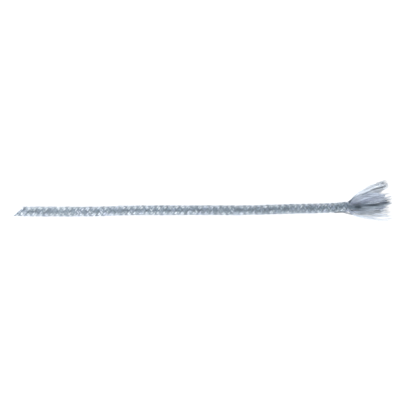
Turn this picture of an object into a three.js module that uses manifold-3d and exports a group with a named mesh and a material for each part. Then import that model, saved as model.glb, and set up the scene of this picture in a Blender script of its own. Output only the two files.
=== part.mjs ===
// Round braided cord, one end cut off at a slant and the other end opened into a loose tuft.
//
// Eight flat strands wind round a core of straight filler yarns, four each way, and cross over and
// under each other. Past the end of the braid the same strands and yarns run on and lie spread out.
// Millimetres. The cord lies on the plane z = 0 and runs along +X, from the cut end to the tuft.
import * as THREE from 'three';
import { mergeVertices } from 'three/addons/utils/BufferGeometryUtils.js';
import Module from 'manifold-3d';

const wasm = await Module();
wasm.setup();

// Braid
const CORD_DIAMETER = 8;
const BRAID_PITCH = 19.7; // the cord's length for one turn of a strand
const STRANDS_EACH_WAY = 4;
const STRAND_THICKNESS = 0.9;
const CROSSING_GAP = 0.5; // between two strands where one passes over the other
const SIDE_GAP = 1.3; // between neighbouring strands that wind the same way
const CROSSING_STATIONS = 2; // sections of a strand from one crossing to the next

// Core: one yarn on the cord's axis and a ring of yarns around it
const RING_YARNS = 6;
const CORE_GAP = 0.3; // between the ring's yarns and the innermost strands
const YARN_GAP = 0.15; // between one core yarn and the next
const YARN_SIDES = 8;
const YARN_STEP = 20; // between two sections of a core yarn

// Slanted cut
const CUT_CENTRE = [-153.3, -8.9];
const CUT_SLANT = 39 * (Math.PI / 180); // between the cut face and the cord's axis
const CUT_BLOCK = 60;

// The cord's axis as it lies, from beyond the cut to the end of the braid
const ROUTE = [
  [-170, -8.9],
  [-135, -9.1],
  [-95, -9.2],
  [-68, -8.4],
  [-42, -8.1],
  [-2, -8.0],
  [38, -7.9],
  [65, -7.2],
  [92, -6.6],
  [105, -6.1],
  [122.4, -5.0],
];

// Tips of the loose ends: along the cord, across it and above the plane it lies on.
// The lists start on the +Y side of the cord and go round by way of its top.
const RIGHT_HAND_TIPS = [
  [151.6, 14.9, 5.0],
  [156.2, -1.6, 6.6],
  [158.0, -14.7, 1.9],
  [152.6, 4.6, 1.4],
];
const LEFT_HAND_TIPS = [
  [152.4, 12.0, 2.2],
  [150.6, 3.4, 7.0],
  [151.0, -8.6, 5.6],
  [157.2, -10.6, 1.3],
];
const RING_YARN_TIPS = [
  [149.8, 9.4, 4.2],
  [155.4, 2.2, 5.2],
  [155.0, -4.4, 4.9],
  [156.8, -12.6, 3.8],
  [154.4, -6.4, 3.0],
  [155.2, 0.4, 2.8],
];
const CENTRE_YARN_TIP = [156.4, -2.4, 4.0];

// Loose ends
const TAIL_STEPS = 8;
const TAIL_START = 4; // how far a loose end still bends to the way it lay in the cord
const TAIL_FLARE = 12; // how far back from its tip a loose end runs straight

const outerRadius = CORD_DIAMETER / 2 - STRAND_THICKNESS / 2;
const innerRadius = outerRadius - STRAND_THICKNESS - CROSSING_GAP;
const middleRadius = (outerRadius + innerRadius) / 2;
const coreRadius = innerRadius - STRAND_THICKNESS / 2 - CORE_GAP;
const yarnRadius = (coreRadius - YARN_GAP) / 3;
const ringRadius = 2 * yarnRadius + YARN_GAP;
const windAngle = Math.atan((2 * Math.PI * middleRadius) / BRAID_PITCH);
const strandSpacing = (BRAID_PITCH / STRANDS_EACH_WAY) * Math.sin(windAngle);
const strandWidth = strandSpacing - SIDE_GAP;
const crossingStep = BRAID_PITCH / STRANDS_EACH_WAY / 2;

const UP = new THREE.Vector3(0, 0, 1);

const route = new THREE.CatmullRomCurve3(
  ROUTE.map(([x, y]) => new THREE.Vector3(x, y, CORD_DIAMETER / 2)),
);
const routeLength = route.getLength();

// A path of stations that each carry their own section axes, so that a flat section keeps the
// same face turned outwards. "out" is the section's x axis.
class StationPath extends THREE.Curve {
  constructor(stations) {
    super();
    this.stations = stations;
  }

  getPoint(t, target = new THREE.Vector3()) {
    const place = t * (this.stations.length - 1);
    const index = Math.min(Math.floor(place), this.stations.length - 2);
    const [from, to] = this.stations.slice(index, index + 2);
    return target.lerpVectors(from.point, to.point, place - index);
  }

  getSpacedPoints() {
    return this.stations.map((station) => station.point);
  }

  computeFrenetFrames() {
    const tangents = this.stations.map((station) => station.along);
    const binormals = this.stations.map(({ along, out }) => along.clone().cross(out).normalize());
    const normals = binormals.map((across, i) => across.clone().cross(tangents[i]).normalize());
    return { tangents, normals, binormals };
  }
}

// The point at a radius and an angle round the cord's axis, "s" along it. The angle starts on the
// +Y side and turns by way of the top.
function roundTheCord(s, radius, angle) {
  const share = THREE.MathUtils.clamp(s / routeLength, 0, 1);
  const axis = route.getTangentAt(share);
  const side = UP.clone().cross(axis).normalize();
  const out = side.multiplyScalar(Math.cos(angle)).addScaledVector(UP, Math.sin(angle));
  const point = route.getPointAt(share).addScaledVector(out, radius);
  return { point, out, axis };
}

// Stations of a strand in the braid. Turn is +1 or -1, and first is its angle where the braid ends,
// at a crossing where the strands that wind by +1 lie on top.
function braidedStations(turn, first) {
  const stations = [];
  const crossings = Math.floor(routeLength / crossingStep);
  for (let step = -crossings * CROSSING_STATIONS; step <= 0; step += 1) {
    const crossing = step / CROSSING_STATIONS;
    const angle = first + (turn * crossing * Math.PI) / STRANDS_EACH_WAY;
    const rise = turn * Math.cos(Math.PI * crossing);
    const radius = middleRadius + (rise * (outerRadius - innerRadius)) / 2;
    const { point, out, axis } = roundTheCord(routeLength + crossing * crossingStep, radius, angle);
    const round = axis.clone().cross(out).multiplyScalar(turn * Math.tan(windAngle));
    stations.push({ point, out, along: axis.clone().add(round).normalize() });
  }
  return stations;
}

// Stations of a core yarn, which runs straight along the cord
function straightStations(radius, angle) {
  const steps = Math.round(routeLength / YARN_STEP);
  const stations = [];
  for (let step = 0; step <= steps; step += 1) {
    const { point, out, axis } = roundTheCord((routeLength * step) / steps, radius, angle);
    stations.push({ point, out, along: axis });
  }
  return stations;
}

// Stations of a loose end, from the last station in the cord to its tip. A flat one turns over on
// the way until it lies flat.
function tailStations(start, tipPlace) {
  const tip = new THREE.Vector3(...tipPlace);
  const cordEnd = route.getPoint(1);
  const spread = tip.clone().sub(cordEnd).normalize();
  const curve = new THREE.CubicBezierCurve3(
    start.point,
    start.point.clone().addScaledVector(start.along, TAIL_START),
    tip.clone().addScaledVector(spread, -TAIL_FLARE),
    tip,
  );
  const flat = UP.clone().multiplyScalar(start.out.z < 0 ? -1 : 1);
  const stations = [];
  for (let step = 1; step <= TAIL_STEPS; step += 1) {
    const share = step / TAIL_STEPS;
    const out = start.out.clone().lerp(flat, share).normalize();
    stations.push({ point: curve.getPoint(share), out, along: curve.getTangent(share) });
  }
  return stations;
}

function solidOf(geometry) {
  const bare = geometry.clone();
  bare.deleteAttribute('normal');
  bare.deleteAttribute('uv');
  const merged = mergeVertices(bare);
  return new wasm.Manifold(
    new wasm.Mesh({
      numProp: 3,
      vertProperties: new Float32Array(merged.attributes.position.array),
      triVerts: new Uint32Array(merged.index.array),
    }),
  );
}

function geometryOf(solid) {
  const { vertProperties, triVerts } = solid.getMesh();
  const geometry = new THREE.BufferGeometry();
  geometry.setAttribute('position', new THREE.BufferAttribute(vertProperties, 3));
  geometry.setIndex(new THREE.BufferAttribute(triVerts, 1));
  geometry.computeVertexNormals();
  return geometry;
}

// What the slanted cut takes away: a block with one face on the cut
function cutBlock() {
  const block = new THREE.BoxGeometry(CUT_BLOCK, CUT_BLOCK, CUT_BLOCK);
  block.translate(0, CUT_BLOCK / 2, 0);
  block.rotateZ(CUT_SLANT);
  block.translate(CUT_CENTRE[0], CUT_CENTRE[1], 0);
  return solidOf(block);
}

const cut = cutBlock();

// A strand or a yarn: a section drawn along its stations, and cut off at the slant
function cutToLength(section, stations) {
  const geometry = new THREE.ExtrudeGeometry(section, {
    steps: stations.length - 1,
    extrudePath: new StationPath(stations),
  });
  return geometryOf(solidOf(geometry).subtract(cut));
}

function strandSection() {
  return new THREE.Shape([
    new THREE.Vector2(STRAND_THICKNESS / 2, 0),
    new THREE.Vector2(0, strandWidth / 2),
    new THREE.Vector2(-STRAND_THICKNESS / 2, 0),
    new THREE.Vector2(0, -strandWidth / 2),
  ]);
}

function yarnSection() {
  const corners = [];
  for (let side = 0; side < YARN_SIDES; side += 1) {
    const angle = (side * 2 * Math.PI) / YARN_SIDES;
    corners.push(new THREE.Vector2(Math.cos(angle), Math.sin(angle)).multiplyScalar(yarnRadius));
  }
  return new THREE.Shape(corners);
}

const strandFinish = new THREE.MeshStandardMaterial({ color: 0x8f9aa6, roughness: 0.45, metalness: 0 });
const coreFinish = new THREE.MeshStandardMaterial({ color: 0xa9b1ba, roughness: 0.5, metalness: 0 });

const cord = new THREE.Group();

function addPiece(name, section, stations, finish) {
  const mesh = new THREE.Mesh(cutToLength(section, stations), finish);
  mesh.name = name;
  cord.add(mesh);
}

function addStrand(name, turn, first, tip) {
  const stations = braidedStations(turn, first);
  stations.push(...tailStations(stations.at(-1), tip));
  addPiece(name, strandSection(), stations, strandFinish);
}

function addCoreYarn(name, radius, angle, tip) {
  const stations = straightStations(radius, angle);
  stations.push(...tailStations(stations.at(-1), tip));
  addPiece(name, yarnSection(), stations, coreFinish);
}

for (let index = 0; index < STRANDS_EACH_WAY; index += 1) {
  const first = (index * 2 * Math.PI) / STRANDS_EACH_WAY;
  addStrand(`right_hand_strand_${index + 1}`, 1, first, RIGHT_HAND_TIPS[index]);
  addStrand(`left_hand_strand_${index + 1}`, -1, first, LEFT_HAND_TIPS[index]);
}

for (let index = 0; index < RING_YARNS; index += 1) {
  const angle = (index * 2 * Math.PI) / RING_YARNS;
  addCoreYarn(`core_yarn_${index + 1}`, ringRadius, angle, RING_YARN_TIPS[index]);
}
addCoreYarn('centre_yarn', 0, 0, CENTRE_YARN_TIP);

export default cord;
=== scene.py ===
"""Round braided cord of silky yarn, cut off at a slant at one end and opened into a tuft at the other.

Metres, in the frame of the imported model: the cord lies on the plane z = 0 and runs along +X from its
cut end. Eight strands, four wound each way, cross over and under each other round seven core yarns.
Past the end of the braid every strand and every core yarn opens into loose filaments.
"""

import math
from typing import NamedTuple

import bpy
import numpy as np
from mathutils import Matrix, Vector


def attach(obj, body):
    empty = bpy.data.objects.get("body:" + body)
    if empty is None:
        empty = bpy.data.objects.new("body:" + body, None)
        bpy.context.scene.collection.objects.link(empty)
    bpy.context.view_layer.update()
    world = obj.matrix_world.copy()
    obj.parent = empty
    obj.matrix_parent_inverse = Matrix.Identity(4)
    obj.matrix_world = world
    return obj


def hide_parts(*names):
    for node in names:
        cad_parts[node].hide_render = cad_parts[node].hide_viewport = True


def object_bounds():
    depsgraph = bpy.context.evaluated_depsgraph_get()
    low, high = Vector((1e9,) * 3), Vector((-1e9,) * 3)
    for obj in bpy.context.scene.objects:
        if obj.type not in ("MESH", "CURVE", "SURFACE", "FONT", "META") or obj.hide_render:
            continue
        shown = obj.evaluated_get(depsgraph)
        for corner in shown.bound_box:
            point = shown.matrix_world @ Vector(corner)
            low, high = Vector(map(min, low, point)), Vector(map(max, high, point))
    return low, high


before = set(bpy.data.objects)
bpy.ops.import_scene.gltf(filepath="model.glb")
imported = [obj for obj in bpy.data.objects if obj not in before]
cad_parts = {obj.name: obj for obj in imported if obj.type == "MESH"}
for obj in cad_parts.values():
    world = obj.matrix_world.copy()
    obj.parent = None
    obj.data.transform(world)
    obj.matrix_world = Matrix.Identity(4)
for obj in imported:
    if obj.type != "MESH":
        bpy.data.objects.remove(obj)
CAD_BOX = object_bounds()

bl_info = {
    "name": "Braided cord",
    "version": (1, 0, 0),
    "blender": (4, 5, 0),
    "location": "View3D > Sidebar > Cord",
    "description": "Builds a round braided cord with a slanted cut and a loose tuft",
    "category": "Add Mesh",
}

MILLIMETRES = 1000  # in a metre
UP = np.array([0.0, 0.0, 1.0])
STRANDS_EACH_WAY = 4
RING_YARNS = 6
FILAMENT_SIDES = 3

# The cord's axis as it lies, along and across, from beyond the cut to the end of the braid
ROUTE = [
    (-0.1700, -0.0089),
    (-0.1350, -0.0091),
    (-0.0950, -0.0092),
    (-0.0680, -0.0084),
    (-0.0420, -0.0081),
    (-0.0020, -0.0080),
    (0.0380, -0.0079),
    (0.0650, -0.0072),
    (0.0920, -0.0066),
    (0.1050, -0.0061),
    (0.1224, -0.0050),
]
CUT_CENTRE = (-0.1541, -0.0089, 0.004)


class LooseEnd(NamedTuple):
    """How a strand or a core yarn opens past the end of the braid. Sizes in metres."""

    tip: tuple  # where its tip lies
    bulge: tuple  # how far its middle swells out, towards +Y and up
    belly: float  # half width in its middle
    width: float  # half width at its tip
    depth: float  # half depth
    filaments: int
    shade: float  # how pale it is, from 0 to 1
    violet: float  # how violet it is, from 0 to 1
    streaks: float  # how much its wisps differ in shade


# Each list starts on the cord's +Y side and goes round by way of the top
RIGHT_HAND_ENDS = [
    LooseEnd((0.1536, 0.0158, 0.0040), (0.0028, 0.0), 0.0034, 0.0013, 0.0010, 360, 0.88, 0.2, 0.10),
    LooseEnd((0.1566, -0.0006, 0.0062), (0.0010, -0.0012), 0.0034, 0.0026, 0.0012, 300, 0.44, 0.3, 0.10),
    LooseEnd((0.1588, -0.0142, 0.0019), (-0.0030, 0.0), 0.0026, 0.0014, 0.0008, 62, 1.00, 0.3, 0.04),
    LooseEnd((0.1526, 0.0046, 0.0014), (0.0010, 0.0), 0.0044, 0.0022, 0.0010, 260, 0.64, 0.4, 0.06),
]
LEFT_HAND_ENDS = [
    LooseEnd((0.1538, 0.0130, 0.0052), (0.0020, 0.0040), 0.0038, 0.0018, 0.0012, 380, 0.92, 0.2, 0.11),
    LooseEnd((0.1510, 0.0036, 0.0070), (0.0024, 0.0004), 0.0058, 0.0026, 0.0015, 440, 0.88, 1.0, 0.16),
    LooseEnd((0.1510, -0.0076, 0.0046), (-0.0016, 0.0), 0.0032, 0.0016, 0.0010, 320, 0.70, 0.3, 0.06),
    LooseEnd((0.1578, -0.0110, 0.0013), (-0.0020, 0.0), 0.0030, 0.0018, 0.0008, 66, 1.00, 0.4, 0.04),
]
RING_YARN_ENDS = [
    LooseEnd((0.1486, 0.0092, 0.0060), (0.0024, 0.0030), 0.0026, 0.0016, 0.0008, 140, 0.84, 0.6, 0.08),
    LooseEnd((0.1572, 0.0036, 0.0050), (0.0010, 0.0), 0.0026, 0.0018, 0.0008, 110, 0.80, 0.2, 0.12),
    # Its low shade is painted shadow: the dark band of shade that runs between the locks
    LooseEnd((0.1516, -0.0058, 0.0056), (-0.0004, 0.0016), 0.0014, 0.0008, 0.0008, 120, 0.26, 0.8, 0.06),
    LooseEnd((0.1576, -0.0130, 0.0030), (-0.0020, 0.0), 0.0022, 0.0016, 0.0008, 36, 1.00, 0.3, 0.04),
    LooseEnd((0.1548, -0.0066, 0.0036), (-0.0004, 0.0), 0.0022, 0.0014, 0.0008, 90, 0.56, 0.6, 0.08),
    LooseEnd((0.1560, 0.0004, 0.0028), (0.0, 0.0), 0.0024, 0.0016, 0.0008, 90, 0.70, 0.3, 0.12),
]
CENTRE_YARN_END = LooseEnd(
    (0.1570, -0.0024, 0.0040), (0.0, 0.0), 0.0024, 0.0016, 0.0008, 90, 0.70, 0.4, 0.12
)


class StrayWisp(NamedTuple):
    """A short wisp that has come out of a strand or a core yarn near the end of the braid; the dark one
    from a core yarn is painted shadow.
    """

    back: float  # how far back from the end of the braid it comes out
    depth: float  # how deep in the cord it lies there
    angle: float  # at which angle round the cord, from the +Y side by way of the top
    end: LooseEnd


STRAY_WISPS = {
    "right_hand_strand_3": StrayWisp(
        0.008,
        0.0,
        math.pi,
        LooseEnd((0.1252, -0.0119, 0.0016), (-0.0006, 0.0), 0.0004, 0.0003, 0.0003, 40, 0.10, 0.4, 0.1),
    ),
    # A dark wisp of painted shadow: it stands for the deep shade in the gap between the locks at the end of
    # the braid
    "core_yarn_3": StrayWisp(
        0.0,
        0.0012,
        0.6 * math.pi,
        LooseEnd((0.1328, -0.0054, 0.0076), (0.0, 0.0046), 0.0017, 0.0006, 0.0005, 90, 0.0, 0.0, 0.0),
    ),
}


# --- Settings -------------------------------------------------------------------------------------


class CordSizes(bpy.types.PropertyGroup):
    """Sizes of the braid, its core and its loose ends."""

    diameter: bpy.props.FloatProperty(
        name="Diameter",
        description="Outer thickness of the cord",
        default=round(CAD_BOX[1].z - CAD_BOX[0].z, 4),
        min=0.002,
        unit="LENGTH",
    )
    pitch: bpy.props.FloatProperty(
        name="Braid pitch",
        description="Length of cord in which a strand goes round once",
        default=0.0197,
        min=0.005,
        unit="LENGTH",
    )
    strand_width: bpy.props.FloatProperty(
        name="Strand width",
        description="Width of one flat strand",
        default=0.0033,
        unit="LENGTH",
    )
    strand_dip: bpy.props.FloatProperty(
        name="Strand dip",
        description="How much deeper a strand lies where it passes under another",
        default=0.00115,
        unit="LENGTH",
    )
    strand_crown: bpy.props.FloatProperty(
        name="Strand crown",
        description="How much lower the edges of a strand's two halves lie than their middles",
        default=0.00034,
        unit="LENGTH",
    )
    strand_yarns: bpy.props.IntProperty(
        name="Yarns in a strand",
        description="Yarns that lie side by side in each strand",
        default=6,
        min=2,
    )
    yarn_thickness: bpy.props.FloatProperty(
        name="Yarn thickness",
        description="Thickness of one yarn of a strand",
        default=0.00066,
        unit="LENGTH",
    )
    core_yarn_thickness: bpy.props.FloatProperty(
        name="Core yarn thickness",
        description="Thickness of one core yarn",
        default=0.00105,
        unit="LENGTH",
    )
    cut_slant: bpy.props.FloatProperty(
        name="Cut slant",
        description="Angle between the cut face and the cord's axis",
        default=math.radians(39),
        subtype="ANGLE",
    )
    hairs: bpy.props.IntProperty(
        name="Hairs",
        description="Fine hairs that stand out from the braid",
        default=1600,
        min=0,
    )
    filament_thickness: bpy.props.FloatProperty(
        name="Filament thickness",
        description="Thickness of one loose filament",
        default=0.00012,
        unit="LENGTH",
    )


class CordColours(bpy.types.PropertyGroup):
    """Colours of the yarn and of the stage."""

    # deep is also the colour of the painted shade where the yarn lies deepest
    deep: bpy.props.FloatVectorProperty(
        name="Yarn, deep",
        description="Colour of the yarn where it lies deepest",
        default=(0.07, 0.105, 0.14),
        size=3,
        subtype="COLOR",
    )
    slate: bpy.props.FloatVectorProperty(
        name="Yarn, slate",
        description="Colour of most of the yarn",
        default=(0.195, 0.27, 0.335),
        size=3,
        subtype="COLOR",
    )
    violet: bpy.props.FloatVectorProperty(
        name="Yarn, violet",
        description="Second colour of the yarn, in patches",
        default=(0.37, 0.42, 0.58),
        size=3,
        subtype="COLOR",
    )
    pale: bpy.props.FloatVectorProperty(
        name="Yarn, pale",
        description="Colour of the palest yarn",
        default=(0.87, 0.92, 0.97),
        size=3,
        subtype="COLOR",
    )
    pale_violet: bpy.props.FloatVectorProperty(
        name="Yarn, pale violet",
        description="Colour of the palest yarn where it is violet",
        default=(0.77, 0.86, 0.99),
        size=3,
        subtype="COLOR",
    )
    floor: bpy.props.FloatVectorProperty(
        name="Floor",
        description="Colour of the floor",
        default=(0.9, 0.9, 0.9),
        size=3,
        subtype="COLOR",
    )


# --- Geometry -------------------------------------------------------------------------------------


class Route:
    """The cord's axis, a smooth curve through its points, read by the distance from its start."""

    SAMPLES = 60  # between one point and the next

    def __init__(self, places, height):
        knots = np.array([(x, y, height) for x, y in places])
        knots = np.array([2 * knots[0] - knots[1], *knots, 2 * knots[-1] - knots[-2]])
        line = [self.stretch(*knots[i : i + 4]) for i in range(len(knots) - 3)]
        self.points = np.concatenate([*line, knots[-2:-1]])
        steps = np.linalg.norm(np.diff(self.points, axis=0), axis=1)
        self.distance = np.concatenate([[0.0], np.cumsum(steps)])
        self.length = float(self.distance[-1])
        self.tangents = unit(np.gradient(self.points, self.distance, axis=0))

    @classmethod
    def stretch(cls, before, start, end, after):
        """Points from start up to end, on a curve that passes all four places."""
        first, middle, last = (
            np.sqrt(np.linalg.norm(b - a)) for a, b in ((before, start), (start, end), (end, after))
        )
        leave = (start - before) / first - (end - before) / (first + middle) + (end - start) / middle
        arrive = (end - start) / middle - (after - start) / (middle + last) + (after - end) / last
        t = (np.arange(cls.SAMPLES) / cls.SAMPLES)[:, None]
        return (
            (2 * t**3 - 3 * t**2 + 1) * start
            + (t**3 - 2 * t**2 + t) * middle * leave
            + (3 * t**2 - 2 * t**3) * end
            + (t**3 - t**2) * middle * arrive
        )

    def read(self, table, s):
        return np.stack([np.interp(s, self.distance, column) for column in table.T], axis=-1)

    def around(self, s, radius, angle):
        """Points at a radius and an angle round the axis, and the direction outwards there."""
        s, radius, angle = np.broadcast_arrays(s, radius, angle)
        side = unit(np.cross(UP, self.read(self.tangents, s)))
        out = side * np.cos(angle)[..., None] + UP * np.sin(angle)[..., None]
        return self.read(self.points, s) + out * radius[..., None], out


def unit(vectors):
    return vectors / np.maximum(np.linalg.norm(vectors, axis=-1, keepdims=True), 1e-12)


def bezier(controls, t):
    """Points of a Bezier curve at every t."""
    degree = len(controls) - 1
    return sum(
        math.comb(degree, k) * ((1 - t) ** (degree - k) * t**k)[..., None] * controls[k]
        for k in range(degree + 1)
    )


class Waves(NamedTuple):
    """How much something wanders, and over which lengths."""

    amount: float
    shortest: float
    longest: float


def wander(rng, rows, s, waves):
    """Smooth random values along s, one row each: a sum of waves of random lengths."""
    count = 5
    lengths = rng.uniform(waves.shortest, waves.longest, (rows, count, 1))
    phases = rng.uniform(0, 2 * math.pi, (rows, count, 1))
    turns = np.asarray(s)[..., None, :] / lengths
    return waves.amount * np.sin(2 * math.pi * turns + phases).sum(axis=1) / math.sqrt(count / 2)


class Tubes:
    """Closed tubes that run side by side: yarns or filaments.

    paths and out are (tubes, stations, 3). The half sizes, shade and violet are (tubes, stations) or
    broadcast to that. shade is how pale the yarn is, from 0 to 1, and violet how much of its second
    colour it takes.
    """

    # The "fibre" map
    ROW_STEP = 3  # from one tube to the next, in girths, and from one end cap to the next, in caps
    END_SIZE = 1 / 8  # of an end cap, in girths
    END_STEP = 50  # from the caps at the start to those at the end, in caps

    # The "OFBake" map, in shares of its side
    STRIPS_START, STRIPS_LENGTH = 0.06, 0.92
    STRIP_MARGIN = 0.06  # above and below a strip, in heights of its row
    END_MIDDLE, END_REACH = 0.045, 0.006  # of the caps at the start
    END_HEIGHT = 0.4  # half a cap's height, in heights of its row
    FAR_ENDS = 0.945  # from the caps at the start to those at the end

    def __init__(self, paths, out, half_width, half_depth, shade, violet):
        self.paths = paths
        shape = paths.shape[:2]
        self.out = np.broadcast_to(out, paths.shape)
        self.half_width, self.half_depth, self.shade, self.violet = (
            np.broadcast_to(values, shape) for values in (half_width, half_depth, shade, violet)
        )

    @classmethod
    def gather(cls, groups):
        names = ("paths", "out", "half_width", "half_depth", "shade", "violet")
        return cls(*(np.concatenate([getattr(group, name) for group in groups]) for name in names))

    def build(self, name, sides, material, band=(0.0, 1.0)):
        """One mesh object of the tubes. band is the part of the bake map's height that they fill."""
        count, stations = self.paths.shape[:2]
        along = unit(np.gradient(self.paths, axis=1))
        across = unit(np.cross(along, self.out))
        lift = np.cross(across, along)
        turn = 2 * math.pi * np.arange(sides) / sides
        ring = (
            self.paths[:, :, None]
            + across[:, :, None] * (self.half_width[..., None] * np.cos(turn))[..., None]
            + lift[:, :, None] * (self.half_depth[..., None] * np.sin(turn))[..., None]
        )
        index = np.arange(count * stations * sides).reshape(count, stations, sides)
        here, ahead = index[:, :-1], index[:, 1:]
        quads = np.stack([here, ahead, np.roll(ahead, -1, 2), np.roll(here, -1, 2)], axis=-1).reshape(-1, 4)
        caps = np.concatenate([index[:, 0], index[:, -1, ::-1]])
        mesh = bpy.data.meshes.new(name)
        mesh.from_pydata(ring.reshape(-1, 3), [], quads.tolist() + caps.tolist())
        mesh.polygons.foreach_set("use_smooth", [True] * len(quads) + [False] * len(caps))
        for map_name, strips, ends in self.maps(sides, band):
            here, ahead = strips[:, :-1], strips[:, 1:]
            corners = np.stack([here[:, :, :-1], ahead[:, :, :-1], ahead[:, :, 1:], here[:, :, 1:]], axis=3)
            flat = np.concatenate([corners.reshape(-1, 2), ends.reshape(-1, 2)])
            mesh.uv_layers.new(name=map_name).uv.foreach_set("vector", flat.astype(np.float32).ravel())
        for attribute in ("shade", "violet"):
            values = np.repeat(getattr(self, attribute), sides, axis=1).astype(np.float32)
            mesh.attributes.new(attribute, "FLOAT", "POINT").data.foreach_set("value", values.ravel())
        mesh.materials.append(material)
        piece = bpy.data.objects.new(name, mesh)
        bpy.context.scene.collection.objects.link(piece)
        return piece

    def maps(self, sides, band):
        """Two maps, each as (name, strips, end caps).

        "fibre" is in millimetres along and round the tubes. "OFBake" has the tubes as strips side by side
        in one square, with room for the end caps beside them.
        """
        count, stations = self.paths.shape[:2]
        run = np.linalg.norm(np.diff(self.paths, axis=1), axis=2).cumsum(axis=1)
        run = np.concatenate([np.zeros((count, 1)), run], axis=1)[:, :, None] * MILLIMETRES
        girth = 2 * math.pi * float(self.half_width.mean()) * MILLIMETRES
        tube = np.arange(count)[:, None, None]
        edge = np.arange(sides + 1)[None, None, :] / sides
        shape = (count, stations, sides + 1)

        def pairs(u, v):
            return np.stack([np.broadcast_to(u, shape), np.broadcast_to(v, shape)], axis=-1)

        turn = 2 * math.pi * np.arange(sides) / sides
        circle = np.stack([np.cos(turn), np.sin(turn)], axis=-1)
        starts = np.concatenate([circle[None] + [[[0, self.ROW_STEP * row]]] for row in range(count)])
        fibre_ends = np.concatenate([starts, starts[:, ::-1] + [self.END_STEP, 0]]) * girth * self.END_SIZE
        yield "fibre", pairs(run, (tube * self.ROW_STEP + edge) * girth), fibre_ends

        low, high = band
        row_height = (high - low) / count
        u = self.STRIPS_START + self.STRIPS_LENGTH * np.arange(stations)[None, :, None] / (stations - 1)
        v = low + (tube + self.STRIP_MARGIN + (1 - 2 * self.STRIP_MARGIN) * edge) * row_height
        middle = low + (tube + 0.5) * row_height
        near_u = self.END_MIDDLE + self.END_REACH * circle[None, :, :1] + 0 * middle
        near_v = middle + self.END_HEIGHT * row_height * circle[None, :, 1:]
        near = np.concatenate([near_u, near_v], axis=2)
        far = near[:, ::-1] + [self.FAR_ENDS, 0]
        yield "OFBake", pairs(u, v), np.concatenate([near, far])


def select_only(*pieces):
    bpy.ops.object.select_all(action="DESELECT")
    for piece in pieces:
        piece.select_set(True)
    bpy.context.view_layer.objects.active = pieces[0]


# Where the cut ends lie in the bake map, in the margin that its strips leave free
CUT_ENDS_MIDDLE, CUT_ENDS_WIDTH = 0.018, 0.03
CUT_ENDS_HEIGHT = 0.8  # in heights of the piece's band
CUT_ENDS_SLOT = 1  # their material's place in the piece's list


def cut_off(piece, sizes, end_material, band=(0.0, 1.0)):
    """Cuts the piece off along the slanted face, closes every yarn and finishes the cut ends."""
    slant = sizes.cut_slant
    piece.data.materials.append(end_material)
    select_only(piece)
    piece.active_material_index = CUT_ENDS_SLOT
    bpy.ops.object.mode_set(mode="EDIT")
    bpy.ops.mesh.select_all(action="SELECT")
    face_out = (-math.sin(slant), math.cos(slant), 0)
    bpy.ops.mesh.bisect(plane_co=CUT_CENTRE, plane_no=face_out, clear_outer=True)
    bpy.ops.mesh.fill_holes(sides=0)
    bpy.ops.object.material_slot_assign()
    bpy.ops.object.mode_set(mode="OBJECT")
    low, high = band
    reach = sizes.diameter / math.sin(slant)
    layer = piece.data.uv_layers["OFBake"].uv
    for face in piece.data.polygons:
        if face.material_index != CUT_ENDS_SLOT:
            continue
        face.use_smooth = False
        for corner, vertex in zip(face.loop_indices, face.vertices):
            place = piece.data.vertices[vertex].co - Vector(CUT_CENTRE)
            along = place.x * math.cos(slant) + place.y * math.sin(slant)
            layer[corner].vector = (
                CUT_ENDS_MIDDLE + CUT_ENDS_WIDTH * place.z / sizes.diameter,
                low + (high - low) * (0.5 + CUT_ENDS_HEIGHT * along / reach),
            )


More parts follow.
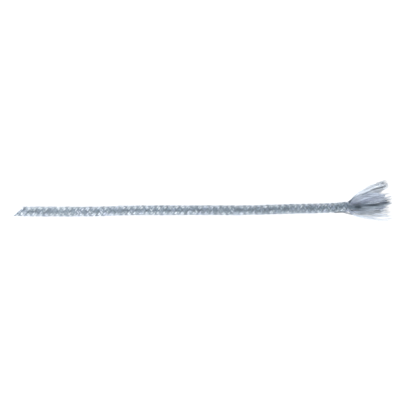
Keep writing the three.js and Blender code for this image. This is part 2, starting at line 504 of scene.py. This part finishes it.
class Braid:
    """Where the strands and yarns of the cord lie."""

    FULLNESS = 0.00025  # how far the crowns of the strands stand out past the cord's thickness
    START = 0.006  # how far from the route's start the strands begin, beyond the cut
    YARN_STEP = 0.00085
    CORE_STEP = 0.008
    CORE_SPACING = 0.95  # from the cord's axis to the ring's yarns, in thicknesses of a core yarn
    CORE_SHADE, CORE_VIOLET = 0.5, 0.4
    TAPER, THINNEST = 0.0045, 0.3  # the braid's last stretch, where its yarns grow thin, and how thin
    LOOSENED, LOOSENING = 0.0007, 0.010  # how much wider the braid grows, and over which last stretch

    # How the strands and their yarns wander from their even places and sizes
    STRAND_SQUEEZE = Waves(0.06, 0.010, 0.040)  # share of the strand's width
    YARN_SLIP = Waves(0.00009, 0.006, 0.030)  # sideways
    YARN_LIFT = Waves(0.00007, 0.005, 0.020)  # outwards
    STRAND_LIFT = Waves(0.00012, 0.010, 0.030)
    YARN_SWELL = Waves(0.12, 0.006, 0.020)  # share of the yarn's thickness
    YARN_FLATNESS = 0.62  # half width of a yarn, in thicknesses
    HALVES = 0.6  # where the middles of a strand's two halves lie, in half widths of the strand
    UNDERSIDE = 0.75  # a yarn's lowest place above the plane the cord lies on, in thicknesses

    # The braid's shade, from 0, deep, to 1, pale: the yarn's own tone, with painted light and shade added
    # in
    SHADE = 0.75
    PAINTED_SHEEN_OF_TURN = 0.10  # painted sheen: how much paler the left-hand strands are, and darker the right-hand ones, for the highlight fibres at this slant catch
    DARKENING, DARKENING_POWER = 0.33, 1.5  # towards the tuft
    # Random paler and darker flecks along each yarn: partly the yarn's uneven tone, partly painted glints
    YARN_TONE_AND_GLINTS = Waves(0.16, 0.002, 0.006)
    STRAND_SHADE = Waves(0.06, 0.010, 0.060)
    YARN_SHADE_SPREAD = 0.08
    PAINTED_SHADE_UNDER = 0.80  # painted shade: how much darker a strand is where it passes under another
    PAINTED_SHADE_OF_EDGES = 0.30  # painted shade in the grooves: how much darker the edges of a strand's halves are, which leaves their crests paler
    VIOLET = 0.06
    STRAND_VIOLET = Waves(0.22, 0.020, 0.090)
    YARN_VIOLET_SPREAD = 0.12

    # Hairs
    HAIR_STATIONS = 6
    HAIR_FROM, HAIR_TO = 0.018, 0.006  # from the route's start and from its end
    HAIR_LENGTH = (0.003, 0.009)
    HAIR_LEAN = 0.3  # how far a hair turns round the cord, as a share of its length, and its spread
    HAIR_FLANK = 0.45  # how far round the cord the hairs spread from its two flanks
    HAIR_ARCH, ARCH_POWER = (0.0002, 0.0009), 0.8  # height of its arch, and how early it rises
    HAIR_ROOT = 0.0002  # how deep it starts in the braid
    HAIR_TIP = (-0.0001, 0.0003)  # how far its tip stands off
    HAIR_HALF = 0.000035
    HAIR_UNDERSIDE = 0.00006
    HAIR_SHADES = (0.5, 1)
    TIP_THINNER = 0.5  # how much thinner hairs and filaments are at the tip

    # Loose ends
    LEAD = (0.006, 0.003)  # where a loose end starts inside the braid, back from its end
    TAIL_START = 0.004  # how far a loose end still bends to the way it lay in the cord
    TAIL_FLARE = 0.012  # how far back from its tip a loose end runs straight,
    LONGEST_FLARE = 0.4  # and at most, as a share of its length
    TAIL_STATIONS = 14
    LATE_BULGE = 0.6  # how much of the bulge is left towards the tip
    BELLY_DEPTH = 1.4  # depth of a loose end's middle, in depths of its tip
    FILAMENTS_IN_WISP, FEWEST_WISPS = 16, 5
    WISP_SPACING = 0.1  # how unevenly the wisps lie side by side
    WISP_SIDEWAYS, WISP_UPWARDS = 0.9, 0.55  # how far out in the loose end a wisp's middle may lie
    WISP_SCATTER = (0.17, 0.32)  # how far filaments lie from their wisp's middle, sideways and upwards
    WISP_SHORTER, FILAMENT_SHORTER = 0.20, 0.12  # at most, as shares of the loose end's length
    WISP_SWAY = Waves(0.22, 0.5, 1.6)
    FILAMENT_STRAY = Waves(0.05, 0.4, 1.2)
    GATHERING = 0.35  # how much closer a wisp's filaments lie at its tip
    FILAMENT_SWELL = (0.75, 1.25)  # thicknesses of the filaments, as shares of the usual one
    FILAMENT_UNDERSIDE = 0.6  # a filament's lowest place above the plane, in thicknesses
    FILAMENT_SHADE_SPREAD = 0.06
    ROOT_PAINTED_SHADE = 0.4  # painted shade where the filaments crowd at the root: how pale a loose end is there, as a share of its own shade,
    ROOT_SHARE = 1 / 2.8  # and how much of its length it takes to get there
    TIP_PALER = 0.10
    POINTS_DOWN = -1e-6  # an outward direction with a lower height than this is on the cord's underside
    WISP_VIOLET_SPREAD = 0.2

    def __init__(self, sizes):
        self.sizes = sizes
        self.route = Route(ROUTE, sizes.diameter / 2)
        self.outer = sizes.diameter / 2 - sizes.yarn_thickness / 2 + self.FULLNESS
        self.inner = self.outer - sizes.strand_dip
        self.middle = (self.outer + self.inner) / 2
        self.wind = math.atan(2 * math.pi * self.middle / sizes.pitch)

    def stations(self, step):
        stretch = self.route.length - self.START
        return np.linspace(self.START, self.route.length, round(stretch / step))[None, :]

    def strand_place(self, turn, first, s):
        """Radius, angle and rise, from -1 under the others to 1 over them, of a strand's middle at s."""
        wound = 2 * math.pi * (s - self.route.length) / self.sizes.pitch
        rise = turn * np.cos(STRANDS_EACH_WAY * wound)
        loosened = self.LOOSENED * np.clip(1 - (self.route.length - s) / self.LOOSENING, 0, 1) ** 2
        return self.middle + (self.outer - self.middle) * rise + loosened, first + turn * wound, rise

    def yarns(self, turn, first, rng):
        """The yarns of one strand in the braid."""
        sizes = self.sizes
        rows = sizes.strand_yarns
        s = self.stations(self.YARN_STEP)
        radius, angle, rise = self.strand_place(turn, first, s)
        half = (sizes.strand_width - sizes.yarn_thickness) / 2
        place = np.linspace(-1, 1, rows)[:, None]
        squeeze = 1 + wander(rng, 1, s, self.STRAND_SQUEEZE)
        offset = half * place * squeeze + wander(rng, rows, s, self.YARN_SLIP)
        half_place = (abs(place) - self.HALVES) / (1 - self.HALVES)
        crown = sizes.strand_crown * (half_place**2 + 0.5 * place**2)
        lift = wander(rng, rows, s, self.YARN_LIFT) - crown
        lift = lift + wander(rng, 1, s, self.STRAND_LIFT)
        paths, out = self.route.around(
            s - offset * math.sin(self.wind),
            radius + lift,
            angle + turn * offset * math.cos(self.wind) / self.middle,
        )
        paths[..., 2] = np.maximum(paths[..., 2], sizes.yarn_thickness * self.UNDERSIDE)
        taper = np.clip((self.route.length - s) / self.TAPER, 0, 1)
        thin = self.THINNEST + (1 - self.THINNEST) * np.sqrt(taper)
        thickness = (1 + wander(rng, rows, s, self.YARN_SWELL)) * thin * sizes.yarn_thickness
        # How far the strand lies under the others, from 0 to 1, for the painted shade where it passes under
        depth = 0.5 - 0.5 * rise
        shade = (
            self.SHADE
            - self.PAINTED_SHEEN_OF_TURN * turn
            - self.DARKENING * (s / self.route.length) ** self.DARKENING_POWER
            + rng.normal(0, self.YARN_SHADE_SPREAD, (rows, 1))
            + wander(rng, rows, s, self.YARN_TONE_AND_GLINTS)
            + wander(rng, 1, s, self.STRAND_SHADE)
            - self.PAINTED_SHADE_UNDER * depth
            - self.PAINTED_SHADE_OF_EDGES * half_place**2
        )
        patches = wander(rng, 1, s, self.STRAND_VIOLET)
        violet = self.VIOLET + patches + rng.normal(0, self.YARN_VIOLET_SPREAD, (rows, 1))
        half_width = thickness * self.YARN_FLATNESS
        return Tubes(paths, out, half_width, thickness / 2, np.clip(shade, 0, 1), np.clip(violet, 0, 1))

    def hairs(self, count, rng):
        """Fine hairs that leave the braid's flanks and lie back along it."""
        share = np.linspace(0, 1, self.HAIR_STATIONS)[None, :]
        start = rng.uniform(self.HAIR_FROM, self.route.length - self.HAIR_TO, (count, 1))
        length = rng.uniform(*self.HAIR_LENGTH, (count, 1))
        turn = rng.choice([-1, 1], (count, 1))
        lean = rng.normal(self.HAIR_LEAN, self.HAIR_LEAN, (count, 1))
        flank = math.pi * rng.integers(0, 2, (count, 1)) + rng.normal(0, self.HAIR_FLANK, (count, 1))
        angle = flank + turn * lean * length * (share - 0.5) / (self.sizes.diameter / 2)
        rise = rng.uniform(*self.HAIR_ARCH, (count, 1)) * np.sin(math.pi * share**self.ARCH_POWER)
        radius = self.outer - self.HAIR_ROOT + rise + rng.uniform(*self.HAIR_TIP, (count, 1)) * share
        s = start + length * share * rng.choice([-1, 1], (count, 1))
        paths, out = self.route.around(s, radius, angle)
        paths[..., 2] = np.maximum(paths[..., 2], self.HAIR_UNDERSIDE)
        half = self.HAIR_HALF * (1 - self.TIP_THINNER * share) + np.zeros((count, 1))
        shade = rng.uniform(*self.HAIR_SHADES, (count, 1))
        return Tubes(paths, out, half, half, shade, rng.uniform(0, 1, (count, 1)))

    def core_place(self, index):
        """Radius and angle of a core yarn's axis; the last one lies on the cord's axis."""
        if index == RING_YARNS:
            return 0.0, 0.0
        return self.CORE_SPACING * self.sizes.core_yarn_thickness, 2 * math.pi * index / RING_YARNS

    def core_yarn(self, index):
        radius, angle = self.core_place(index)
        paths, out = self.route.around(self.stations(self.CORE_STEP), radius, angle)
        half = self.sizes.core_yarn_thickness / 2
        return Tubes(paths, out, half, half, self.CORE_SHADE, self.CORE_VIOLET)

    def lead(self, place, back=0.0):
        """The last points of a strand or core yarn in the braid, and the directions outwards there."""
        s = self.route.length - back - np.array([*self.LEAD, 0.0])
        return self.route.around(s, *place(s))

    def loose_end(self, lead, lead_out, end, root, rng):
        """Filaments that leave the cord along lead and open towards a tip, gathered in wisps.

        root holds the half width and half depth of the loose end where it leaves the cord.
        """
        tip = np.array(end.tip)
        reach = tip - lead[-1]
        flare = reach * min(self.LONGEST_FLARE, self.TAIL_FLARE / np.linalg.norm(reach))
        bulge = np.array([0.0, *end.bulge])
        leave = lead[-1] + unit(lead[-1] - lead[-2]) * self.TAIL_START + bulge
        controls = np.array([lead[-1], leave, tip - flare + bulge * self.LATE_BULGE, tip])

        # Each filament belongs to a wisp, and has its place in it and its own length
        count = end.filaments
        wisps = max(self.FEWEST_WISPS, count // self.FILAMENTS_IN_WISP)
        wisp = rng.integers(0, wisps, count)
        middle = rng.uniform(-1, 1, (wisps, 2))
        middle[:, 0] = np.linspace(-1, 1, wisps) + rng.normal(0, self.WISP_SPACING, wisps)
        scatter = rng.normal(0, 1, (count, 2)) * self.WISP_SCATTER
        length = 1 - self.WISP_SHORTER * rng.uniform(0, 1, wisps)[wisp] ** 2
        length = length - self.FILAMENT_SHORTER * rng.uniform(0, 1, count) ** 2
        progress = np.linspace(0, 1, self.TAIL_STATIONS)[None, 1:]
        t = progress * length[:, None]

        # The loose end turns over on the way until it lies flat
        flat = UP * (-1 if lead_out[-1][2] < self.POINTS_DOWN else 1)
        out = unit(lead_out[-1] * (1 - t)[..., None] + flat * t[..., None])
        across = unit(np.cross(unit(bezier(np.diff(controls, axis=0), t)), out))

        width = root[0] * (1 - t) ** 2 + end.belly * 2 * t * (1 - t) + end.width * t**2
        belly_depth = self.BELLY_DEPTH * end.depth
        depth = root[1] * (1 - t) ** 2 + belly_depth * 2 * t * (1 - t) + end.depth * t**2
        sway = wander(rng, wisps * 2, progress, self.WISP_SWAY).reshape(wisps, 2, -1)[wisp] * progress
        stray = wander(rng, count * 2, progress, self.FILAMENT_STRAY).reshape(count, 2, -1)
        loose = scatter[..., None] * (1 - self.GATHERING * t)[:, None] + sway + stray
        sideways = (middle[wisp, :1] * self.WISP_SIDEWAYS + loose[:, 0]) * width
        upwards = (middle[wisp, 1:] * self.WISP_UPWARDS + loose[:, 1]) * depth
        tail = bezier(controls, t) + across * sideways[..., None] + out * upwards[..., None]

        place = (middle[wisp] * self.WISP_SIDEWAYS + scatter)[:, :, None, None]
        lead_across = unit(np.cross(unit(np.gradient(lead, axis=0)), lead_out))
        inside = lead + lead_across * root[0] * place[:, 0] + lead_out * root[1] * place[:, 1]
        thickness = self.sizes.filament_thickness
        paths = np.concatenate([inside, tail], axis=1)
        paths[..., 2] = np.maximum(paths[..., 2], thickness * self.FILAMENT_UNDERSIDE)
        outs = np.concatenate([np.broadcast_to(lead_out, inside.shape), out], axis=1)

        share = np.concatenate([np.zeros((count, len(lead))), t], axis=1)
        half = thickness / 2 * rng.uniform(*self.FILAMENT_SWELL, (count, 1))
        half = half * (1 - self.TIP_THINNER * share**4)
        shade = end.shade + rng.normal(0, end.streaks, wisps)[wisp, None]
        shade = shade + rng.normal(0, self.FILAMENT_SHADE_SPREAD, (count, 1))
        # Painted shade: each filament is darker towards its root and inside the braid
        paling = (1 - self.ROOT_PAINTED_SHADE) * np.minimum(share / self.ROOT_SHARE, 1)
        shade = shade * (self.ROOT_PAINTED_SHADE + paling) + self.TIP_PALER * share
        violet = end.violet + rng.normal(0, self.WISP_VIOLET_SPREAD, wisps)[wisp, None]
        return Tubes(paths, outs, half, half, np.clip(shade, 0, 1), np.clip(violet, 0, 1))

    def with_stray_wisp(self, cad_node, tail, root, rng):
        """The loose end, with the wisp that has come out beside it where there is one."""
        if cad_node not in STRAY_WISPS:
            return tail
        back, depth, angle, wisp = STRAY_WISPS[cad_node]
        lead, lead_out = self.lead(lambda s: (self.outer - depth, angle), back)
        return Tubes.gather([tail, self.loose_end(lead, lead_out, wisp, root, rng)])


# --- Materials ------------------------------------------------------------------------------------


def new_material(name):
    made = bpy.data.materials.new(name)
    made.use_nodes = True
    nodes = made.node_tree.nodes
    return made, nodes, made.node_tree.links, nodes["Principled BSDF"]


def node(nodes, kind, inputs=None, **values):
    """A new node with its own settings and the values of its sockets by name."""
    made = nodes.new(kind)
    for name, value in values.items():
        setattr(made, name, value)
    for name, value in (inputs or {}).items():
        made.inputs[name].default_value = value
    return made


def fibre_noise(nodes, links, along, across, detail):
    """A noise drawn out along the fibres, from the map in millimetres."""
    place = node(nodes, "ShaderNodeUVMap", uv_map="fibre")
    stretch = node(nodes, "ShaderNodeMapping", {"Scale": (along, across, 1)})
    noise = node(nodes, "ShaderNodeTexNoise", {"Scale": 1, "Detail": detail})
    links.new(place.outputs["UV"], stretch.inputs["Vector"])
    links.new(stretch.outputs["Vector"], noise.inputs["Vector"])
    return noise.outputs["Fac"]


def ranged(nodes, links, value, low, high):
    """The middle of a noise's range, stretched to run from low to high."""
    limits = {"From Min": 0.3, "From Max": 0.7, "To Min": low, "To Max": high}
    made = node(nodes, "ShaderNodeMapRange", limits)
    links.new(value, made.inputs["Value"])
    return made.outputs["Result"]


def total(nodes, links, first, second):
    made = node(nodes, "ShaderNodeMath", operation="ADD", use_clamp=True)
    links.new(first, made.inputs[0])
    links.new(second, made.inputs[1])
    return made.outputs["Value"]


MAIN_SHADE = 0.45  # the shade, between deep and pale, at which the yarn has its main colour


def shade_ramp(nodes, links, value, deep, main, pale):
    made = node(nodes, "ShaderNodeValToRGB")
    made.color_ramp.elements[0].color = (*deep, 1)
    made.color_ramp.elements[1].color = (*pale, 1)
    made.color_ramp.elements.new(MAIN_SHADE).color = (*main, 1)
    links.new(value, made.inputs["Fac"])
    return made.outputs["Color"]


def silky_yarn(name, colours, streak, roughness, sheen):
    """Silky filament yarn: each yarn has its own shade, with painted light and shade in it, and streaks and
    grooves run along the fibres.
    """
    made, nodes, links, shader = new_material(name)
    shade = node(nodes, "ShaderNodeAttribute", attribute_name="shade").outputs["Fac"]
    violet = node(nodes, "ShaderNodeAttribute", attribute_name="violet").outputs["Fac"]
    streaks = fibre_noise(nodes, links, along=0.3, across=9, detail=3)
    value = total(nodes, links, shade, ranged(nodes, links, streaks, -streak, streak))
    slate = shade_ramp(nodes, links, value, colours.deep, colours.slate, colours.pale)
    lilac = shade_ramp(nodes, links, value, colours.deep, colours.violet, colours.pale_violet)
    mix = node(nodes, "ShaderNodeMix", data_type="RGBA")
    links.new(violet, mix.inputs["Factor"])
    links.new(slate, mix.inputs["A"])
    links.new(lilac, mix.inputs["B"])
    links.new(mix.outputs["Result"], shader.inputs["Base Color"])
    dull = fibre_noise(nodes, links, along=0.2, across=3, detail=2)
    glossiest, dullest = roughness - 0.08, roughness + 0.14
    links.new(ranged(nodes, links, dull, glossiest, dullest), shader.inputs["Roughness"])
    grooves = fibre_noise(nodes, links, along=0.15, across=14, detail=2)
    bump = node(nodes, "ShaderNodeBump", {"Strength": 0.6, "Distance": 0.0001})
    links.new(grooves, bump.inputs["Height"])
    links.new(bump.outputs["Normal"], shader.inputs["Normal"])
    shader.inputs["Specular IOR Level"].default_value = 0.8
    shader.inputs["Sheen Weight"].default_value = sheen
    shader.inputs["Sheen Roughness"].default_value = 0.4
    return made


def cut_ends(name, colours):
    """The cut ends of the yarns: dull, with a speck for each fibre."""
    made, nodes, links, shader = new_material(name)
    place = node(nodes, "ShaderNodeTexCoord")
    specks = node(nodes, "ShaderNodeTexVoronoi", {"Scale": 9000})
    links.new(place.outputs["Object"], specks.inputs["Vector"])
    shades = {"A": (*colours.pale, 1), "B": (*colours.deep, 1)}
    mix = node(nodes, "ShaderNodeMix", shades, data_type="RGBA")
    links.new(specks.outputs["Distance"], mix.inputs["Factor"])
    links.new(mix.outputs["Result"], shader.inputs["Base Color"])
    bump = node(nodes, "ShaderNodeBump", {"Strength": 0.5, "Distance": 0.0001}, invert=True)
    links.new(specks.outputs["Distance"], bump.inputs["Height"])
    links.new(bump.outputs["Normal"], shader.inputs["Normal"])
    shader.inputs["Roughness"].default_value = 0.85
    return made


def finish_piece(piece, slot, *cad_nodes):
    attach(piece, "root")
    if cad_nodes:
        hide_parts(*cad_nodes)


# --- Operators ------------------------------------------------------------------------------------


class CORD_OT_stage(bpy.types.Operator):
    """Make the camera, the floor and the soft studio lights"""

    bl_idname = "cord.stage"
    bl_label = "Stage"
    VIEW_CENTRE = (-0.00333, 0.0005)
    VIEW_WIDTH = 0.33333  # at the height of the cord's axis
    AXIS_HEIGHT = 0.004
    FLOOR_SIZE = 8
    FLOOR_GLOW = 1.09  # the floor shines by itself, so that it stays evenly pale,
    FLOOR_REFLECTION = 0.1  # and reflects this share of its colour
    SURROUNDINGS = 0.42  # strength of the even light from all round

    def execute(self, context):
        scene = context.scene
        self.camera(scene)
        self.floor(scene.cord_colours.floor)
        # Two low, long lights make the cord's flanks pale
        self.light("front", place=(0.1, -1.3, 0.46), size=(1.8, 0.3), power=40)
        self.light("back", place=(-0.45, 1.2, 0.38), size=(0.9, 0.15), power=29)
        world = bpy.data.worlds.new("studio")
        world.use_nodes = True
        back = world.node_tree.nodes["Background"]
        back.inputs["Color"].default_value = (1, 1, 1, 1)
        back.inputs["Strength"].default_value = self.SURROUNDINGS
        scene.world = world
        scene.view_settings.view_transform = "Standard"
        return {"FINISHED"}

    def camera(self, scene):
        lens = bpy.data.cameras.new("camera")
        lens.lens = 100
        lens.sensor_width = 36
        lens.clip_start, lens.clip_end = 0.01, 20
        made = bpy.data.objects.new("camera", lens)
        distance = self.VIEW_WIDTH * lens.lens / lens.sensor_width
        made.location = (*self.VIEW_CENTRE, self.AXIS_HEIGHT + distance)
        scene.collection.objects.link(made)
        scene.camera = made

    def floor(self, colour):
        bpy.ops.object.select_all(action="DESELECT")
        bpy.ops.mesh.primitive_plane_add(size=self.FLOOR_SIZE, location=(0, 0, 0))
        made = bpy.context.active_object
        made.name = "floor"
        finish, _, _, shader = new_material("floor")
        reflected = (self.FLOOR_REFLECTION * value for value in colour)
        shader.inputs["Base Color"].default_value = (*reflected, 1)
        shader.inputs["Roughness"].default_value = 0.9
        shader.inputs["Emission Color"].default_value = (*colour, 1)
        shader.inputs["Emission Strength"].default_value = self.FLOOR_GLOW
        made.data.materials.append(finish)

    def light(self, name, place, size, power):
        lamp = bpy.data.lights.new(name, "AREA")
        lamp.shape = "RECTANGLE"
        lamp.size, lamp.size_y = size
        lamp.energy = power
        made = bpy.data.objects.new(name, lamp)
        made.location = place
        made.rotation_euler = (-Vector(place)).to_track_quat("-Z", "Y").to_euler()
        bpy.context.scene.collection.objects.link(made)


def strand_list():
    """Each strand's CAD node, way of winding (+1 or -1), angle at the end of the braid and loose end."""
    found = []
    for index in range(STRANDS_EACH_WAY):
        first = 2 * math.pi * index / STRANDS_EACH_WAY
        found.append((f"right_hand_strand_{index + 1}", 1, first, RIGHT_HAND_ENDS[index]))
        found.append((f"left_hand_strand_{index + 1}", -1, first, LEFT_HAND_ENDS[index]))
    return found


class CORD_OT_braid(bpy.types.Operator):
    """Make the braid of the eight strands, each a flat bundle of yarns, and its fine hairs"""

    bl_idname = "cord.braid"
    bl_label = "Braid"
    YARN_SIDES = 5
    SEED = 100
    HAIR_SEED = 50

    def execute(self, context):
        sizes, colours = context.scene.cord_sizes, context.scene.cord_colours
        braid = Braid(sizes)
        finish = silky_yarn("braid yarn", colours, streak=0.22, roughness=0.36, sheen=1.0)
        strands = [
            braid.yarns(turn, first, np.random.default_rng(self.SEED + number))
            for number, (_, turn, first, _) in enumerate(strand_list())
        ]
        piece = Tubes.gather(strands).build("braid", self.YARN_SIDES, finish)
        cut_off(piece, sizes, cut_ends("cut yarn ends", colours))
        finish_piece(piece, "braid_yarn", *(strand[0] for strand in strand_list()))
        hairs = braid.hairs(sizes.hairs, np.random.default_rng(self.HAIR_SEED))
        finish_piece(hairs.build("braid_hairs", FILAMENT_SIDES, finish), "braid_yarn")
        return {"FINISHED"}


class CORD_OT_core_yarns(bpy.types.Operator):
    """Make the seven core yarns, each with its loose end"""

    bl_idname = "cord.core_yarns"
    bl_label = "Core yarns"
    YARN_SIDES = 10
    SEED = 200
    LOOSE_BAND = 0.15  # where in the bake map the loose end's strips begin
    ROOT = 0.45  # half size of a loose end's root, in thicknesses of the yarn

    def execute(self, context):
        sizes, colours = context.scene.cord_sizes, context.scene.cord_colours
        braid = Braid(sizes)
        finish = silky_yarn("core yarn", colours, streak=0.2, roughness=0.5, sheen=0.15)
        ends = cut_ends("cut core yarn ends", colours)
        names = [f"core_yarn_{index + 1}" for index in range(RING_YARNS)] + ["centre_yarn"]
        for index, (cad_node, end) in enumerate(zip(names, [*RING_YARN_ENDS, CENTRE_YARN_END])):
            band = (0.0, self.LOOSE_BAND)
            yarn = braid.core_yarn(index).build(cad_node + "_soft", self.YARN_SIDES, finish, band)
            cut_off(yarn, sizes, ends, band)
            lead, lead_out = braid.lead(lambda s: braid.core_place(index))
            root = (sizes.core_yarn_thickness * self.ROOT, sizes.core_yarn_thickness * self.ROOT)
            rng = np.random.default_rng(self.SEED + index)
            tail = braid.loose_end(lead, lead_out, end, root, rng)
            tail = braid.with_stray_wisp(cad_node, tail, root, rng)
            loose = tail.build(cad_node + "_loose", FILAMENT_SIDES, finish, (self.LOOSE_BAND, 1.0))
            select_only(yarn, loose)
            bpy.ops.object.join()
            finish_piece(yarn, "core_yarn", cad_node)
        return {"FINISHED"}


class CORD_OT_loose_ends(bpy.types.Operator):
    """Make the loose ends of the eight strands, where their yarns open into filaments"""

    bl_idname = "cord.loose_ends"
    bl_label = "Loose ends"
    SEED = 300
    ROOT_WIDTH = 0.45  # half width of a loose end's root, in widths of the strand
    ROOT_DEPTH = 0.6  # its half depth, in thicknesses of a yarn

    def execute(self, context):
        sizes, colours = context.scene.cord_sizes, context.scene.cord_colours
        braid = Braid(sizes)
        finish = silky_yarn("loose filaments", colours, streak=0.1, roughness=0.34, sheen=0.5)
        root = (sizes.strand_width * self.ROOT_WIDTH, sizes.yarn_thickness * self.ROOT_DEPTH)
        for number, (cad_node, turn, first, end) in enumerate(strand_list()):
            lead, lead_out = braid.lead(lambda s: braid.strand_place(turn, first, s)[:2])
            rng = np.random.default_rng(self.SEED + number)
            tail = braid.loose_end(lead, lead_out, end, root, rng)
            tail = braid.with_stray_wisp(cad_node, tail, root, rng)
            piece = tail.build(cad_node + "_loose_end", FILAMENT_SIDES, finish)
            finish_piece(piece, "braid_yarn", cad_node)
        return {"FINISHED"}


class CORD_OT_declare(bpy.types.Operator):
    """Work out points along the cord's axis, from the cut to the end of the braid"""

    bl_idname = "cord.declare"
    bl_label = "Declare the cord"
    PATH_STEP = 0.004

    def execute(self, context):
        sizes = context.scene.cord_sizes
        route = Route(ROUTE, sizes.diameter / 2)
        cut = float(np.interp(CUT_CENTRE[0], route.points[:, 0], route.distance))
        stations = np.append(np.arange(cut, route.length, self.PATH_STEP), route.length)
        path = route.read(route.points, stations)
        return {"FINISHED"}


class CORD_PT_panel(bpy.types.Panel):
    """Sizes and colours of the cord, and a button for each group of its pieces"""

    bl_label = "Braided cord"
    bl_idname = "CORD_PT_panel"
    bl_space_type = "VIEW_3D"
    bl_region_type = "UI"
    bl_category = "Cord"

    def draw(self, context):
        for group in (context.scene.cord_sizes, context.scene.cord_colours):
            for name in group.__annotations__:
                self.layout.prop(group, name)
        for operator in OPERATORS:
            self.layout.operator(operator.bl_idname)


OPERATORS = (CORD_OT_stage, CORD_OT_braid, CORD_OT_core_yarns, CORD_OT_loose_ends, CORD_OT_declare)
CLASSES = (CordSizes, CordColours, *OPERATORS, CORD_PT_panel)


def register():
    for cls in CLASSES:
        bpy.utils.register_class(cls)
    bpy.types.Scene.cord_sizes = bpy.props.PointerProperty(type=CordSizes)
    bpy.types.Scene.cord_colours = bpy.props.PointerProperty(type=CordColours)


def unregister():
    del bpy.types.Scene.cord_colours
    del bpy.types.Scene.cord_sizes
    for cls in reversed(CLASSES):
        bpy.utils.unregister_class(cls)


def main():
    register()
    bpy.ops.cord.stage()
    bpy.ops.cord.braid()
    bpy.ops.cord.core_yarns()
    bpy.ops.cord.loose_ends()
    bpy.ops.cord.declare()
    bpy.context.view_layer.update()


if __name__ == "__main__":
    main()
